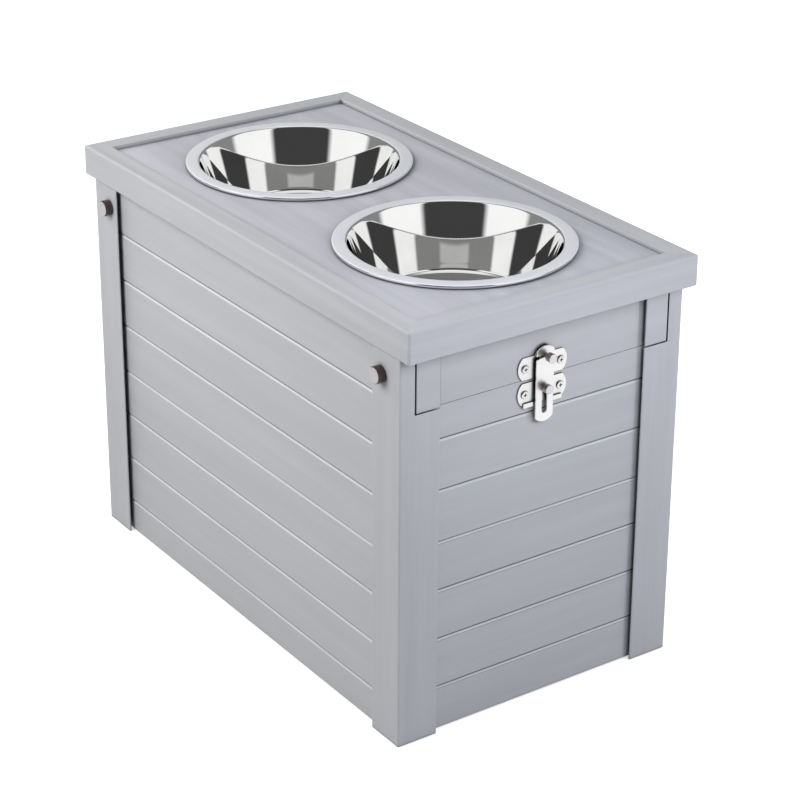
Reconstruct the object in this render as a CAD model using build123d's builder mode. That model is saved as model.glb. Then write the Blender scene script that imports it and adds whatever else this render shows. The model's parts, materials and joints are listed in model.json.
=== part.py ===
from build123d import *
import os

# Elevated dog feeder: a plank box on four posts, a hinged lid that carries two bowls, and a strap latch.
# Millimetres, +Z up. +X is the latch end, -Y the front. The origin is the middle of the base, on the floor.

# Body
body_length = 557.0
body_width = 322.5
body_height = 396.0
post_size = 44.0
post_edge_radius = 1.5
panel_recess = 6.0
panel_thickness = 12.0
panel_lift = 1.0
board_pitch = 51.5
long_top_board_count = 4
end_plank_seam = 200.0
skirt_height = 58.5
groove_width = 3.8
groove_depth = 2.2
groove_undercut = 0.5
seam_opening = 1.0
seam_depth = 3.0
seam_slope_width = 2.6
seam_slope_depth = 1.6
long_tongue = 22.0
end_tongue = 18.0
skirt_tongue = 8.0
slot_fit = 0.3
slot_front_wall = 1.5

# Floor of the store
floor_thickness = 10.0
floor_height = 24.0
floor_fit = 0.5
cleat_width = 14.0
cleat_height = 16.0

# Lock pins through the post and the long panel's tongue
pin_head_diameter = 16.4
pin_head_length = 8.5
pin_shank_diameter = 8.0
pin_shank_length = 26.0
pin_inset = 29.0
pin_drop = 24.0
pin_chamfer = 0.8
pin_fit = 0.05

# Lid
lid_end_overhang = 17.0
lid_side_overhang = 2.8
lid_gap = 0.4
rail_width = 22.0
rail_height = 31.0
rail_edge_radius = 3.0
rail_inner_radius = 1.0
rail_corner_radius = 3.0
ledge_width = 12.0
deck_thickness = 10.0
deck_recess = 4.5
deck_fit = 0.4
rib_width = 20.0

# Skirts under the short rails, and the notches that take them
block_depth = 15.0
notch_outer_wall = 16.0
notch_side_fit = 1.4
notch_back_fit = 4.0
block_gap = 1.2
skirt_gap = 0.4

# Bowls. The gap ratio is the gap between the bowls over the gap from a bowl to the short rail.
bowl_gap_ratio = 13 / 7
bowl_opening_diameter = 205.6
bowl_flange_width = 13.7
bowl_floor_diameter = 166.0
bowl_depth = 67.0
bowl_wall = 1.0
bowl_bead = 4.2
bowl_corner_radius = 12.0
bowl_lip_radius = 2.5
bowl_seat_gap = 0.3
bowl_floor_inset = 10.0
bowl_rim_inset = 2.0
deck_hole_clearance = 3.0

# Latch
latch_plate_width = 56.0
latch_plate_height = 22.0
latch_plate_thickness = 1.5
latch_plate_bulge = 5.0
latch_plate_corner_radius = 1.5
keeper_plate_lift = 0.3
base_plate_drop = 2.7
keeper_tongue_radius = 9.5
latch_lip_width = 11.0
latch_lip_height = 4.4
latch_lip_depth = 1.6
latch_lip_gap = 1.0
latch_screw_spacing = 40.6
pivot_above_base_plate = 4.0
keeper_above_pivot = 32.2
strap_width = 20.0
strap_length = 75.5
strap_thickness = 1.4
strap_bulge = 4.5
strap_corner_radius = 1.5
strap_below_pivot = 34.1
strap_slot_length = 28.7
strap_gap = 0.3
pivot_neck_diameter = 6.0
pivot_neck_fit = 0.05
keeper_neck_diameter = 3.0
keeper_neck_fit = 0.2
stud_collar_diameter = 12.0
stud_collar_height = 2.5
stud_shoulder_diameter = 5.0
stud_knob_diameter = 9.0
keeper_shoulder_length = 4.0
keeper_knob_length = 7.1
pivot_shoulder_length = 1.8
pivot_knob_length = 5.5
knob_chamfer = 0.6

# Hinges
hinge_spread = 130.0
hinge_width = 46.0
hinge_leaf_height = 25.0
hinge_leaf_thickness = 1.6
hinge_leaf_radius = 3.0
hinge_axis_outside_post = 2.1
knuckle_diameter = 8.0
knuckle_gap = 0.4
hinge_web_thickness = 2.4
hinge_pin_diameter = 4.0
hinge_pin_fit = 0.05
hinge_pin_head_diameter = 6.0
hinge_pin_head_length = 1.2
hinge_screw_spacing = 30.0
hinge_screw_height = 16.0

# Pan-head screws
screw_head_diameter = 7.4
screw_head_height = 1.6
screw_head_fillet = 0.7
screw_shank_diameter = 3.4
screw_shank_length = 9.0
screw_fit = 0.05
screw_cross_length = 3.8
screw_cross_width = 0.9
screw_cross_depth = 1.1

# Places worked out from the sizes
half_length = body_length / 2
half_width = body_width / 2
post_x = half_length - post_size / 2
post_y = half_width - post_size / 2
inner_x = half_length - post_size
inner_y = half_width - post_size
panel_face_x = half_length - panel_recess
panel_face_y = half_width - panel_recess
panel_back_x = panel_face_x - panel_thickness
panel_back_y = panel_face_y - panel_thickness
skirt_seam = body_height - skirt_height
long_plank_seam = body_height - long_top_board_count * board_pitch
pin_z = body_height - pin_drop
pin_x = half_length - pin_inset

lid_bottom = body_height + lid_gap
lid_top = lid_bottom + rail_height
lid_half_length = half_length + lid_end_overhang
lid_half_width = half_width + lid_side_overhang
deck_top = lid_top - deck_recess
deck_bottom = deck_top - deck_thickness
ledge_height = deck_bottom - lid_bottom
ledge_reach = rail_width + ledge_width
skirt_bottom = skirt_seam + skirt_gap
block_bottom = skirt_seam + block_gap
notch_width = post_size - notch_outer_wall
notch_depth = block_depth + notch_back_fit
bowl_rim_top = deck_top + bowl_seat_gap + bowl_bead
bowl_rim_diameter = bowl_opening_diameter + 2 * bowl_flange_width
deck_hole_diameter = bowl_opening_diameter + 2 * bowl_wall + 2 * deck_hole_clearance
deck_free_length = 2 * (lid_half_length - rail_width - bowl_rim_diameter)
bowl_end_gap = deck_free_length / (2 + bowl_gap_ratio)
bowl_spacing = bowl_rim_diameter + bowl_gap_ratio * bowl_end_gap

latch_face_x = panel_face_x + latch_plate_thickness
strap_back_x = latch_face_x + stud_collar_height + strap_gap
shoulder_back_x = strap_back_x + strap_thickness + strap_gap
keeper_plate_z = skirt_bottom + keeper_plate_lift + latch_plate_height / 2
base_plate_z = skirt_seam - base_plate_drop - latch_plate_height / 2
pivot_z = base_plate_z + pivot_above_base_plate
keeper_z = pivot_z + keeper_above_pivot

hinge_x = -(half_length + hinge_axis_outside_post)
hinge_z = skirt_seam + skirt_gap / 2

UP = Vector(0, 0, 1)
ENDS = {"latch": 1, "hinge": -1}
SIDES = {"front": -1, "back": 1}
BOWL_ZONES = ("floor", "wall", "rim")


def finish(piece, name):
    """Label a finished piece and write it."""
    piece.part.label = name
    export_step(piece.part, f"parts/{name}.step")


def end_plane(x, y, z, sign):
    """A plane that faces outward at an end, with its Y axis up."""
    outward = Vector(sign, 0, 0)
    return Plane(origin=(x, y, z), x_dir=UP.cross(outward), z_dir=outward)


def side_plane(x, y, z, sign):
    """A plane that faces outward at a long side, with its Y axis up."""
    outward = Vector(0, sign, 0)
    return Plane(origin=(x, y, z), x_dir=UP.cross(outward), z_dir=outward)


def section_plane(origin, inward):
    """A plane for a section that runs along a wall: X points inward and Y up."""
    return Plane(origin=origin, x_dir=inward, z_dir=inward.cross(UP))


def make_post(end_sign, side_sign):
    """A corner post with its two panel slots, open behind a thin front wall, its notch and its pin hole."""
    slot_width = panel_recess - slot_front_wall + panel_thickness + slot_fit
    long_slot = long_tongue + slot_fit
    end_slot = end_tongue + slot_fit
    long_slot_x = end_sign * (inner_x + long_slot / 2)
    long_slot_y = side_sign * (half_width - slot_front_wall - slot_width / 2)
    end_slot_x = end_sign * (half_length - slot_front_wall - slot_width / 2)
    end_slot_y = side_sign * (inner_y + end_slot / 2)
    notch_x = end_sign * (half_length - notch_depth / 2)
    notch_y = side_sign * (inner_y + notch_width / 2)
    pin_hole = side_plane(end_sign * pin_x, side_sign * half_width, pin_z, side_sign)
    with BuildPart() as post:
        with BuildSketch(Plane.XY):
            with Locations((end_sign * post_x, side_sign * post_y)):
                RectangleRounded(post_size, post_size, post_edge_radius)
        extrude(amount=body_height)
        with BuildSketch(Plane.XY):
            with Locations((long_slot_x, long_slot_y)):
                Rectangle(long_slot, slot_width)
        extrude(amount=body_height, mode=Mode.SUBTRACT)
        with BuildSketch(Plane.XY):
            with Locations((end_slot_x, end_slot_y)):
                Rectangle(slot_width, end_slot)
        extrude(amount=skirt_seam, mode=Mode.SUBTRACT)
        with BuildSketch(Plane.XY.offset(skirt_seam)):
            with Locations((notch_x, notch_y)):
                Rectangle(notch_depth, notch_width)
        extrude(amount=body_height - skirt_seam, mode=Mode.SUBTRACT)
        with Locations(pin_hole):
            Hole(radius=pin_shank_diameter / 2 + pin_fit, depth=pin_shank_length + slot_fit)
    return post


def make_plank(outer_face, inward, length, bottom, top, grooves, seams, holes):
    """A plank with grooves and seams that slope out below, and round holes (plane, radius, depth) in it."""
    slope_top = -seam_opening / 2
    with BuildPart() as plank:
        with BuildSketch(section_plane(outer_face, inward)):
            with Locations((panel_thickness / 2, (bottom + top) / 2)):
                Rectangle(panel_thickness, top - bottom)
            for height in grooves:
                Polygon(
                    (0, height + groove_width / 2),
                    (groove_depth, height + groove_width / 2 - groove_undercut),
                    (0, height - groove_width / 2),
                    align=None,
                    mode=Mode.SUBTRACT,
                )
            for height in seams:
                Polygon(
                    (0, height + seam_opening / 2),
                    (seam_depth, height + seam_opening / 2),
                    (seam_depth, height + slope_top),
                    (seam_slope_depth, height + slope_top),
                    (0, height + slope_top - seam_slope_width),
                    align=None,
                    mode=Mode.SUBTRACT,
                )
        extrude(amount=length / 2, both=True)
        for plane, radius, depth in holes:
            with Locations(plane):
                Hole(radius=radius, depth=depth)
    return plank


def board_lines(start, stop, step):
    """Groove heights from a seam towards the plank's other edge, leaving out a sliver at the edge."""
    lines = []
    height = start + step
    while min(start, stop) + groove_width < height < max(start, stop) - groove_width:
        lines.append(height)
        height += step
    return lines


def make_rail(inward, half_run, half_across):
    """One mitred rail of the lid frame, with the ledge that the deck lies on."""
    along = inward.cross(UP)
    middle = inward * -half_across
    corner = along * half_run
    mitre = inward * ledge_reach
    shorter = along * (half_run - ledge_reach)
    trapezoid = [middle - corner, middle + corner, middle + shorter + mitre, middle - shorter + mitre]
    with BuildPart() as rail:
        with BuildSketch(section_plane(middle + UP * lid_bottom, inward)):
            with BuildLine():
                FilletPolyline(
                    (ledge_reach, 0),
                    (0, 0),
                    (0, rail_height),
                    (rail_width, rail_height),
                    (rail_width, ledge_height),
                    radius=[rail_inner_radius, rail_edge_radius, rail_inner_radius],
                )
                Polyline((rail_width, ledge_height), (ledge_reach, ledge_height), (ledge_reach, 0))
            make_face()
        extrude(amount=half_run, both=True)
        with BuildSketch(Plane.XY.offset(lid_bottom)):
            RectangleRounded(2 * lid_half_length, 2 * lid_half_width, rail_corner_radius)
            Polygon(*[(point.X, point.Y) for point in trapezoid], align=None, mode=Mode.INTERSECT)
        extrude(amount=rail_height, mode=Mode.INTERSECT)
    return rail


def make_bowl(centre_x):
    """A bowl in three zones: flat floor, tapering wall, and flat rim with a rolled bead at its edge."""
    opening = bowl_opening_diameter / 2
    floor = bowl_floor_diameter / 2
    bead_centre = bowl_rim_diameter / 2 - bowl_bead / 2
    section = Plane(origin=(centre_x, 0, bowl_rim_top), x_dir=(1, 0, 0), z_dir=(0, -1, 0))
    with BuildPart() as bowl:
        with BuildSketch(section):
            with BuildLine():
                FilletPolyline(
                    (0, -bowl_depth),
                    (floor, -bowl_depth),
                    (opening, 0),
                    (bead_centre, 0),
                    radius=[bowl_corner_radius, bowl_lip_radius],
                )
                Line((bead_centre, 0), (bead_centre, -bowl_wall))
                FilletPolyline(
                    (bead_centre, -bowl_wall),
                    (opening + bowl_wall, -bowl_wall),
                    (floor + bowl_wall, -bowl_depth - bowl_wall),
                    (0, -bowl_depth - bowl_wall),
                    radius=[bowl_lip_radius - bowl_wall, bowl_corner_radius + bowl_wall],
                )
                Line((0, -bowl_depth - bowl_wall), (0, -bowl_depth))
            make_face()
            with Locations((bead_centre, -bowl_bead / 2)):
                Circle(bowl_bead / 2)
        revolve(axis=Axis((centre_x, 0, 0), (0, 0, 1)))
    cuts = [0, floor - bowl_floor_inset, opening + bowl_rim_inset, bowl_rim_diameter]
    zones = []
    for inner, outer in zip(cuts, cuts[1:]):
        with BuildPart() as zone:
            add(bowl.part)
            with BuildSketch(Plane(origin=(centre_x, 0, bowl_rim_top))):
                Circle(outer)
                if inner:
                    Circle(inner, mode=Mode.SUBTRACT)
            extrude(amount=2 * bowl_depth, both=True, mode=Mode.INTERSECT)
        zones.append(zone)
    return dict(zip(BOWL_ZONES, zones))


def make_screws(planes):
    """Pan-head screws with a cross recess, one at each plane, with their heads on the plane."""
    with BuildPart() as screws:
        with BuildSketch(*planes):
            Circle(screw_head_diameter / 2)
        extrude(amount=screw_head_height)
        tops = [plane.offset(screw_head_height) for plane in planes]
        rims = [edge for top in tops for edge in screws.faces().sort_by_distance(top.origin)[0].edges()]
        fillet(rims, screw_head_fillet)
        with BuildSketch(*planes):
            Circle(screw_shank_diameter / 2)
        extrude(amount=-screw_shank_length)
        with BuildSketch(*tops):
            Rectangle(screw_cross_length, screw_cross_width)
            Rectangle(screw_cross_width, screw_cross_length)
        extrude(amount=-screw_cross_depth, mode=Mode.SUBTRACT)
    return screws


def make_stud(height, neck_diameter, shoulder_length, knob_length):
    """A headed stud of the latch: a collar on its plate, a neck in the strap, a shoulder and a knob."""
    with BuildPart() as stud:
        with BuildSketch(end_plane(latch_face_x, 0, height, 1)):
            Circle(stud_collar_diameter / 2)
        extrude(amount=stud_collar_height)
        with BuildSketch(end_plane(latch_face_x + stud_collar_height, 0, height, 1)):
            Circle(neck_diameter / 2)
        extrude(amount=shoulder_back_x - latch_face_x - stud_collar_height)
        with BuildSketch(end_plane(shoulder_back_x, 0, height, 1)):
            Circle(stud_shoulder_diameter / 2)
        extrude(amount=shoulder_length)
        with BuildSketch(end_plane(shoulder_back_x + shoulder_length, 0, height, 1)):
            Circle(stud_knob_diameter / 2)
        extrude(amount=knob_length)
        chamfer(stud.faces().sort_by(Axis.X)[-1].edges(), knob_chamfer)
    return stud


def make_latch_plate(centre_z):
    """A latch plate with bowed ends and two screw holes."""
    straight = latch_plate_width / 2 - latch_plate_bulge
    top = latch_plate_height / 2
    with BuildPart() as plate:
        with BuildSketch(end_plane(panel_face_x, 0, centre_z, 1)) as outline:
            with BuildLine():
                Line((-straight, top), (straight, top))
                ThreePointArc((straight, top), (straight + latch_plate_bulge, 0), (straight, -top))
                Line((straight, -top), (-straight, -top))
                ThreePointArc((-straight, -top), (-straight - latch_plate_bulge, 0), (-straight, top))
            make_face()
            fillet(outline.vertices(), latch_plate_corner_radius)
            with GridLocations(latch_screw_spacing, 0, 2, 1):
                Circle(screw_shank_diameter / 2 + screw_fit, mode=Mode.SUBTRACT)
        extrude(amount=latch_plate_thickness)
    return plate


def make_keeper_plate():
    """The lid's latch plate, with a round-topped tongue behind its stud."""
    with BuildPart() as plate:
        add(make_latch_plate(keeper_plate_z).part)
        with BuildSketch(end_plane(panel_face_x, 0, keeper_z, 1)):
            Circle(keeper_tongue_radius)
            with Locations((0, (keeper_plate_z - keeper_z) / 2)):
                Rectangle(2 * keeper_tongue_radius, keeper_z - keeper_plate_z)
        extrude(amount=latch_plate_thickness)
    return plate


def make_base_plate():
    """The body's latch plate, with two turned-out lips at its lower edge, one each side of the strap."""
    lip_spacing = strap_width + 2 * latch_lip_gap + latch_lip_width
    with BuildPart() as plate:
        add(make_latch_plate(base_plate_z).part)
        with BuildSketch(end_plane(panel_face_x, 0, base_plate_z - latch_plate_height / 2, 1)):
            with GridLocations(lip_spacing, 0, 2, 1):
                Rectangle(latch_lip_width, latch_lip_height)
        extrude(amount=latch_plate_thickness + latch_lip_depth)
    return plate


def make_strap():
    """The latch strap: a slot that hangs on the pivot stud, and a notch open to the front at the top."""
    notch_radius = keeper_neck_diameter / 2 + keeper_neck_fit
    slot_radius = pivot_neck_diameter / 2 + pivot_neck_fit
    slot_centre = slot_radius - strap_slot_length / 2
    side = strap_width / 2
    low = strap_bulge - strap_below_pivot
    high = strap_length - strap_below_pivot - strap_bulge
    with BuildPart() as strap:
        with BuildSketch(end_plane(strap_back_x, 0, pivot_z, 1)) as outline:
            with BuildLine():
                Line((-side, low), (-side, high))
                ThreePointArc((-side, high), (0, high + strap_bulge), (side, high))
                Line((side, high), (side, low))
                ThreePointArc((side, low), (0, low - strap_bulge), (-side, low))
            make_face()
            fillet(outline.vertices(), strap_corner_radius)
            with Locations((0, slot_centre)):
                SlotOverall(strap_slot_length, 2 * slot_radius, rotation=90, mode=Mode.SUBTRACT)
            with BuildSketch(mode=Mode.SUBTRACT):
                Circle(keeper_above_pivot + notch_radius)
                Circle(keeper_above_pivot - notch_radius, mode=Mode.SUBTRACT)
                with Locations((-strap_width / 2, keeper_above_pivot)):
                    Rectangle(strap_width, strap_width, mode=Mode.INTERSECT)
                with Locations((0, keeper_above_pivot)):
                    Circle(notch_radius)
        extrude(amount=strap_thickness)
    return strap


def hinge_screw_planes(centre_y, sign):
    """The two screw places on a hinge leaf, above the axis for sign 1 and below it for -1."""
    x = -(panel_face_x + hinge_leaf_thickness)
    z = hinge_z + sign * hinge_screw_height
    return [end_plane(x, centre_y + step * hinge_screw_spacing / 2, z, -1) for step in (-1, 1)]


def make_leaf(centre_y, sign):
    """A hinge leaf: its plate, its web and its knuckles, one in the middle above and two outside below."""
    pitch = hinge_width / 3
    knuckle_length = pitch - knuckle_gap
    places = [centre_y] if sign > 0 else [centre_y - pitch, centre_y + pitch]
    edge_z = hinge_z + sign * skirt_gap
    web_reach = -panel_face_x - hinge_x
    starts = [place - knuckle_length / 2 for place in places]
    with BuildPart() as leaf:
        with BuildSketch(end_plane(-panel_face_x, centre_y, edge_z + sign * hinge_leaf_height / 2, -1)):
            RectangleRounded(hinge_width, hinge_leaf_height, hinge_leaf_radius)
            with Locations((0, hinge_z + sign * hinge_screw_height - edge_z - sign * hinge_leaf_height / 2)):
                with GridLocations(hinge_screw_spacing, 0, 2, 1):
                    Circle(screw_shank_diameter / 2 + screw_fit, mode=Mode.SUBTRACT)
        extrude(amount=hinge_leaf_thickness)
        for start in starts:
            knuckle = Plane(origin=(hinge_x, start, hinge_z), x_dir=(1, 0, 0), z_dir=(0, 1, 0))
            web_z = -sign * (skirt_gap + hinge_web_thickness / 2)
            with BuildSketch(knuckle):
                with Locations((web_reach / 2, web_z)):
                    Rectangle(web_reach, hinge_web_thickness)
                Circle(knuckle_diameter / 2)
                Circle(hinge_pin_diameter / 2 + hinge_pin_fit, mode=Mode.SUBTRACT)
            extrude(amount=knuckle_length)
    return leaf


def make_hinge_pin(centre_y):
    """A hinge pin with a flat head at either end."""
    head_start = hinge_width / 2
    with BuildPart() as pin:
        with BuildSketch(side_plane(hinge_x, centre_y, hinge_z, 1)):
            Circle(hinge_pin_diameter / 2)
        extrude(amount=head_start, both=True)
        for sign in (1, -1):
            with BuildSketch(side_plane(hinge_x, centre_y + sign * head_start, hinge_z, sign)):
                Circle(hinge_pin_head_diameter / 2)
            extrude(amount=hinge_pin_head_length)
    return pin


def make_lock_pin(end_sign, side_sign):
    """A round-headed steel pin that locks a long panel's tongue in its post."""
    face = side_plane(end_sign * pin_x, side_sign * half_width, pin_z, side_sign)
    with BuildPart() as pin:
        with BuildSketch(face):
            Circle(pin_head_diameter / 2)
        extrude(amount=pin_head_length)
        end_face = pin.faces().sort_by_distance(face.offset(pin_head_length).origin)[0]
        chamfer(end_face.edges(), pin_chamfer)
        with BuildSketch(face):
            Circle(pin_shank_diameter / 2)
        extrude(amount=-pin_shank_length)
    return pin


# Corner posts and lock pins
for end, end_sign in ENDS.items():
    for side, side_sign in SIDES.items():
        post = make_post(end_sign, side_sign)
        finish(post, f"{end}_{side}_post")
        lock_pin = make_lock_pin(end_sign, side_sign)
        finish(lock_pin, f"{end}_{side}_lock_pin")

# Long side panels
long_run = 2 * (inner_x + long_tongue)
pin_hole_radius = pin_shank_diameter / 2 + pin_fit
for side, side_sign in SIDES.items():
    face = Vector(0, side_sign * panel_face_y, 0)
    inward = Vector(0, -side_sign, 0)
    pin_planes = [side_plane(sign * pin_x, face.Y, pin_z, side_sign) for sign in (-1, 1)]
    pin_holes = [(plane, pin_hole_radius, panel_thickness) for plane in pin_planes]
    upper_lines = board_lines(body_height, long_plank_seam, -board_pitch)
    lower_lines = board_lines(long_plank_seam, panel_lift, -board_pitch)
    upper = make_plank(
        face, inward, long_run, long_plank_seam, body_height, upper_lines, [long_plank_seam], pin_holes
    )
    finish(upper, f"{side}_upper_plank")
    lower = make_plank(
        face, inward, long_run, panel_lift, long_plank_seam, lower_lines, [long_plank_seam], []
    )
    finish(lower, f"{side}_lower_plank")

# End panels and skirt boards, with the screw holes of the latch and the hinges
end_run = 2 * (inner_y + end_tongue)
skirt_run = 2 * (inner_y + skirt_tongue)
hinge_centres = (-hinge_spread / 2, hinge_spread / 2)
screw_hole_radius = screw_shank_diameter / 2 + screw_fit
screw_sides = (-latch_screw_spacing / 2, latch_screw_spacing / 2)
keeper_screws = [end_plane(latch_face_x, place, keeper_plate_z, 1) for place in screw_sides]
base_screws = [end_plane(latch_face_x, place, base_plate_z, 1) for place in screw_sides]
hinge_lid_screws = [plane for centre in hinge_centres for plane in hinge_screw_planes(centre, 1)]
hinge_base_screws = [plane for centre in hinge_centres for plane in hinge_screw_planes(centre, -1)]
skirt_screws = {"latch": keeper_screws, "hinge": hinge_lid_screws}
panel_screws = {"latch": base_screws, "hinge": hinge_base_screws}
for end, end_sign in ENDS.items():
    face = Vector(end_sign * panel_face_x, 0, 0)
    inward = Vector(-end_sign, 0, 0)
    upper_lines = board_lines(end_plank_seam, skirt_seam, board_pitch)
    lower_lines = board_lines(end_plank_seam, panel_lift, -board_pitch)
    upper_holes = [(plane, screw_hole_radius, screw_shank_length) for plane in panel_screws[end]]
    skirt_holes = [(plane, screw_hole_radius, screw_shank_length) for plane in skirt_screws[end]]
    upper = make_plank(
        face, inward, end_run, end_plank_seam, skirt_seam, upper_lines, [end_plank_seam], upper_holes
    )
    finish(upper, f"{end}_end_upper_plank")
    lower = make_plank(
        face, inward, end_run, panel_lift, end_plank_seam, lower_lines, [end_plank_seam], []
    )
    finish(lower, f"{end}_end_lower_plank")
    skirt = make_plank(face, inward, skirt_run, skirt_bottom, lid_bottom, [], [], skirt_holes)
    finish(skirt, f"{end}_skirt_board")
    for side, side_sign in SIDES.items():
        block_y = side_sign * (inner_y + (notch_width - notch_side_fit) / 2)
        slot_y = side_sign * (inner_y + skirt_tongue / 2)
        with BuildPart() as block:
            with BuildSketch(Plane.XY.offset(block_bottom)):
                with Locations((end_sign * (half_length - block_depth / 2), block_y)):
                    Rectangle(block_depth, notch_width - notch_side_fit)
                with Locations((end_sign * (half_length - slot_front_wall - block_depth / 2), slot_y)):
                    Rectangle(block_depth, skirt_tongue, mode=Mode.SUBTRACT)
            extrude(amount=lid_bottom - block_bottom)
        finish(block, f"{end}_{side}_skirt_block")

# Floor and its cleats
floor_half_x = panel_back_x - floor_fit
floor_half_y = panel_back_y - floor_fit
corner_x = floor_half_x - inner_x + floor_fit
corner_y = floor_half_y - inner_y + floor_fit
with BuildPart() as store_floor:
    with BuildSketch(Plane.XY.offset(floor_height)):
        Rectangle(2 * floor_half_x, 2 * floor_half_y)
        with GridLocations(2 * floor_half_x - corner_x, 2 * floor_half_y - corner_y, 2, 2):
            Rectangle(corner_x, corner_y, mode=Mode.SUBTRACT)
    extrude(amount=floor_thickness)
finish(store_floor, "store_floor")
for side, side_sign in SIDES.items():
    with BuildPart() as cleat:
        with BuildSketch(Plane.XY.offset(floor_height - cleat_height)):
            with Locations((0, side_sign * (panel_back_y - cleat_width / 2))):
                Rectangle(2 * (inner_x - floor_fit), cleat_width)
        extrude(amount=cleat_height)
    finish(cleat, f"{side}_floor_cleat")

# Lid frame, deck and rib
for side, side_sign in SIDES.items():
    rail = make_rail(Vector(0, -side_sign, 0), lid_half_length, lid_half_width)
    finish(rail, f"lid_{side}_rail")
for end, end_sign in ENDS.items():
    rail = make_rail(Vector(-end_sign, 0, 0), lid_half_width, lid_half_length)
    finish(rail, f"lid_{end}_rail")
deck_length = 2 * (lid_half_length - rail_width - deck_fit)
deck_width = 2 * (lid_half_width - rail_width - deck_fit)
with BuildPart() as deck:
    with BuildSketch(Plane.XY.offset(deck_bottom)):
        Rectangle(deck_length, deck_width)
        with GridLocations(bowl_spacing, 0, 2, 1):
            Circle(deck_hole_diameter / 2, mode=Mode.SUBTRACT)
    extrude(amount=deck_thickness)
finish(deck, "lid_deck")
with BuildPart() as rib:
    with BuildSketch(Plane.XY.offset(lid_bottom)):
        Rectangle(rib_width, 2 * (lid_half_width - ledge_reach))
    extrude(amount=ledge_height)
finish(rib, "lid_rib")

# Bowls
for name, sign in {"left": -1, "right": 1}.items():
    for zone, piece in make_bowl(sign * bowl_spacing / 2).items():
        finish(piece, f"{name}_bowl_{zone}")

# Latch
finish(make_keeper_plate(), "latch_keeper_plate")
finish(make_base_plate(), "latch_base_plate")
keeper_stud = make_stud(keeper_z, keeper_neck_diameter, keeper_shoulder_length, keeper_knob_length)
finish(keeper_stud, "latch_keeper_stud")
pivot_stud = make_stud(pivot_z, pivot_neck_diameter, pivot_shoulder_length, pivot_knob_length)
finish(pivot_stud, "latch_pivot_stud")
latch_strap = make_strap()
finish(latch_strap, "latch_strap")
finish(make_screws(keeper_screws), "latch_keeper_screws")
finish(make_screws(base_screws), "latch_base_screws")

# Hinges
for side, centre in zip(SIDES, hinge_centres):
    finish(make_leaf(centre, 1), f"hinge_{side}_lid_leaf")
    finish(make_leaf(centre, -1), f"hinge_{side}_base_leaf")
    finish(make_hinge_pin(centre), f"hinge_{side}_pin")
finish(make_screws(hinge_lid_screws), "hinge_lid_screws")
finish(make_screws(hinge_base_screws), "hinge_base_screws")
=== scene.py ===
import json
import math

import bmesh
import bpy
from mathutils import Matrix, Vector


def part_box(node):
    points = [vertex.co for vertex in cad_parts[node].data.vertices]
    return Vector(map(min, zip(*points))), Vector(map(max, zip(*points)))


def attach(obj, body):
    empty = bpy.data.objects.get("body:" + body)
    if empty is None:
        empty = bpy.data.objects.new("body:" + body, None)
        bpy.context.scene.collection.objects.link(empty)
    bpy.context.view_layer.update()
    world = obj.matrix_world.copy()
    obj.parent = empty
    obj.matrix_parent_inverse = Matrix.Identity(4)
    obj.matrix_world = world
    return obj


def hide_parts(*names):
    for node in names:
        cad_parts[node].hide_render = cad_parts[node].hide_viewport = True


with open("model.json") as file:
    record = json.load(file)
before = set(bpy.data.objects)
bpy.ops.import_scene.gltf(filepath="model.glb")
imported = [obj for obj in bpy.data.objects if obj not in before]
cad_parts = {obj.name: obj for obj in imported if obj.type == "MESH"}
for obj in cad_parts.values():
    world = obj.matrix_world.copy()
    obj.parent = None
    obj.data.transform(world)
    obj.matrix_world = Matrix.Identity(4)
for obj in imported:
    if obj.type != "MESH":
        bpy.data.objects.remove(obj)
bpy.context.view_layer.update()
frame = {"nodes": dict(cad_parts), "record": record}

# Sizes that the finish adds to the frame, in metres
BOARD_BEVEL = 0.0007
GROOVE_BEVEL = 0.00035
STEEL_BEVEL = 0.00025
BEVEL_ANGLE = math.radians(28)
BEVEL_SEGMENTS = 3
ROUND_PROFILE = 0.5
SCREW_BEVEL = STEEL_BEVEL / 3
SMOOTH_ANGLE = math.radians(24)
FLAT_ANGLE = math.radians(0.4)
WELD = 0.000002

# Which faces get painted light: how far up a groove's lower side looks, for its painted highlight, and how
# squarely the side of a post faces its planks, for its painted shade
UP_SLOPE = (0.2, 0.9)
SQUARE_ON = 0.9

# Grain: the scale, detail and roughness of each noise, and how slowly streaks and bands run along a board
STREAK_NOISE = (330.0, 3.0, 0.6)
BAND_NOISE = (55.0, 3.0, 0.55)
CLOUD_NOISE = (6.0, 2.0, 0.5)
SPECK_NOISE = (1400.0, 2.0, 0.6)
STREAK_RUN = 0.02
BAND_RUN = 0.05
EVEN = (1.0, 1.0, 1.0)

# The part of a noise's range that is spread over its whole effect
BAND_RANGE = (0.36, 0.66)
STREAK_RANGE = (0.35, 0.70)
MIDDLE_RANGE = (0.30, 0.70)

# Boards: how far bands, streaks, clouds and grain wander from the colour, and the range of the satin sheen
DARK_BAND = 0.035
LIGHT_BAND = 0.035
FINE_STREAK = 0.012
SOFT_TONE = (0.985, 1.015)
SHEEN = (0.38, 0.46)
FINE_SHEEN = (-0.02, 0.04)
BOARD_SPECULAR = 0.45
BOARD_IOR = 1.48

# Boards: how high the grain stands, and the share of streaks and specks in it
BOARD_BUMP = 0.12
BOARD_RELIEF = 0.0003
STREAK_HEIGHT = 0.6
SPECK_HEIGHT = 0.4

# Metal: its scratches and smears, and where in their range they count
SCRATCH_NOISE = (260.0, 3.0, 0.55)
SCRATCH_RUN = (1.0, 1.0, 0.15)
SMEAR_NOISE = (22.0, 3.0, 0.5)
SMEAR_RANGE = (0.35, 0.75)
SMEAR_SHEEN_RANGE = (0.4, 0.8)
METAL_RELIEF = 0.00005
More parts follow.
